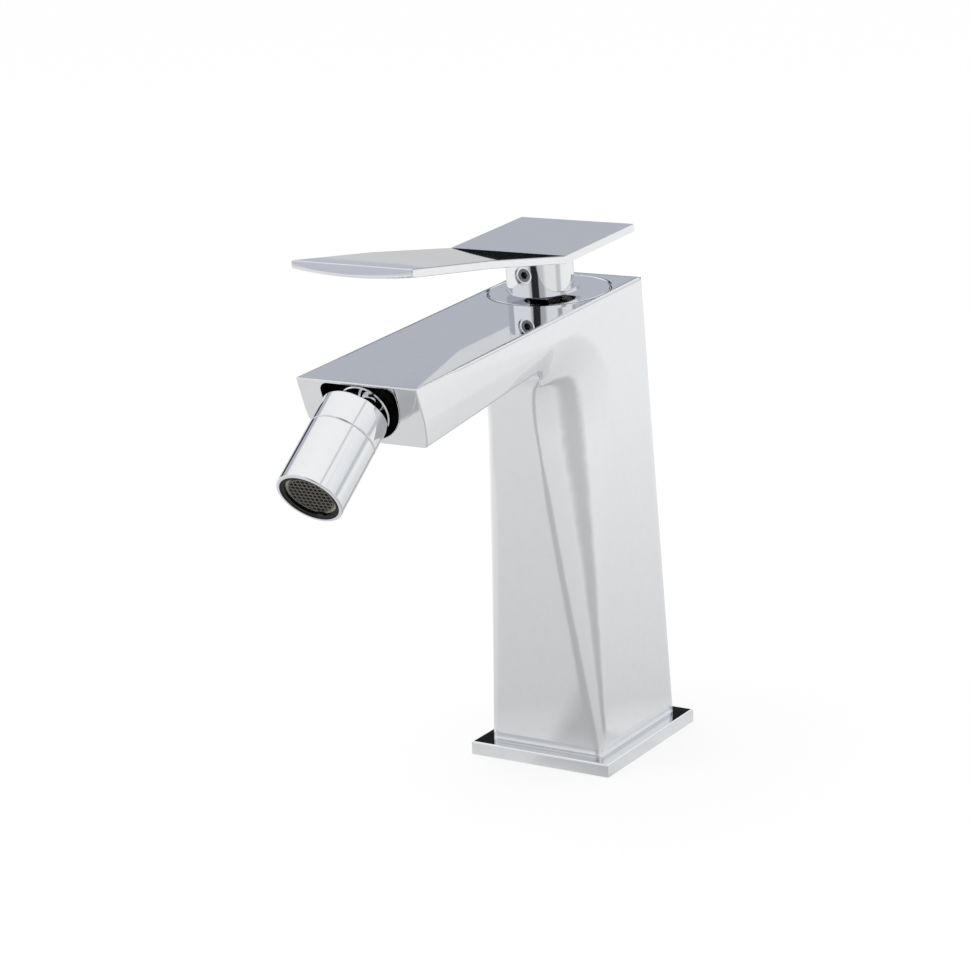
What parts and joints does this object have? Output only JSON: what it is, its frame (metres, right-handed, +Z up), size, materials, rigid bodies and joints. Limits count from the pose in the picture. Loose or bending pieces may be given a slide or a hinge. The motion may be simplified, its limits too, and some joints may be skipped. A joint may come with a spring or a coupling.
{
  "type": "bidet mixer",
  "caption": "Single-lever bidet mixer: square twisted column with a flat spout, a swivelling aerated nozzle and a bent plate lever on a ceramic disc cartridge.",
  "frame": {"origin": "centre of the base's underside, at the mouth of the fixing stud's hole, on the deck surface", "axes": "+Z up, spout and nozzle towards -Y, +X to the right seen from behind the mixer"},
  "size_m": [0.06, 0.2178, 0.2119],
  "materials": {
    "chrome_plate": "bright nickel-chrome plate on polished brass",
    "turned_brass": "machined brass",
    "brushed_stem": "machined steel",
    "cartridge_plastic": "moulded acetal",
    "liner_plastic": "moulded acetal, black",
    "ceramic": "lapped alumina ceramic",
    "seal_rubber": "nitrile rubber",
    "aerator_black": "moulded acetal, black",
    "aerator_grey": "moulded acetal, grey"
  },
  "bodies": {
    "mixer_body": {"body_casting": "chrome_plate", "base_plate": "chrome_plate", "base_gasket": "seal_rubber", "cartridge_base": "cartridge_plastic", "port_seals": "seal_rubber", "disc_seals": "seal_rubber", "fixed_disc": "ceramic", "cartridge_housing": "cartridge_plastic", "retaining_nut": "turned_brass", "cap_ring": "chrome_plate", "nozzle_nipple": "chrome_plate", "nipple_washer": "seal_rubber"},
    "turret": {"spindle_guide": "cartridge_plastic", "spindle_pin": "brushed_stem"},
    "lever": {"lever_handle": "chrome_plate", "cartridge_spindle": "brushed_stem", "grub_screw": "brushed_stem"},
    "disc": {"moving_disc": "ceramic", "disc_carrier": "cartridge_plastic"},
    "liner": {"ball_liner": "liner_plastic"},
    "nozzle": {"nozzle_body": "chrome_plate", "nozzle_collar": "chrome_plate", "ball_seal": "seal_rubber", "aerator_seal": "seal_rubber", "aerator_housing": "aerator_black", "aerator_insert": "aerator_grey", "aerator_mesh": "aerator_grey"}
  },
  "joints": [
    {"name": "lever_turn", "type": "hinge", "parent": "mixer_body", "child": "turret", "pos_m": [0, -0.0157, 0.16835], "axis": [0, -0.0602, 0.9982], "range_deg": [-45, 45]},
    {"name": "lever_lift", "type": "hinge", "parent": "turret", "child": "lever", "pos_m": [0, -0.0157, 0.16835], "axis": [-1, 0, 0], "range_deg": [0, 22]},
    {"name": "disc_slide", "type": "slide", "parent": "turret", "child": "disc", "axis": [0, -0.9982, -0.0602], "range_m": [0, 0.0042]},
    {"name": "nozzle_tilt", "type": "hinge", "parent": "mixer_body", "child": "liner", "pos_m": [0, -0.15259, 0.15749], "axis": [1, 0, 0], "range_deg": [-32, 3]},
    {"name": "nozzle_swing", "type": "hinge", "parent": "liner", "child": "nozzle", "pos_m": [0, -0.15259, 0.15749], "axis": [0, -0.6039, 0.7971], "range_deg": [-10, 10]}
  ],
  "couplings": [
    {"joint": "disc_slide", "follows": "lever_lift", "m_per_rad": 0.010891}
  ]
}
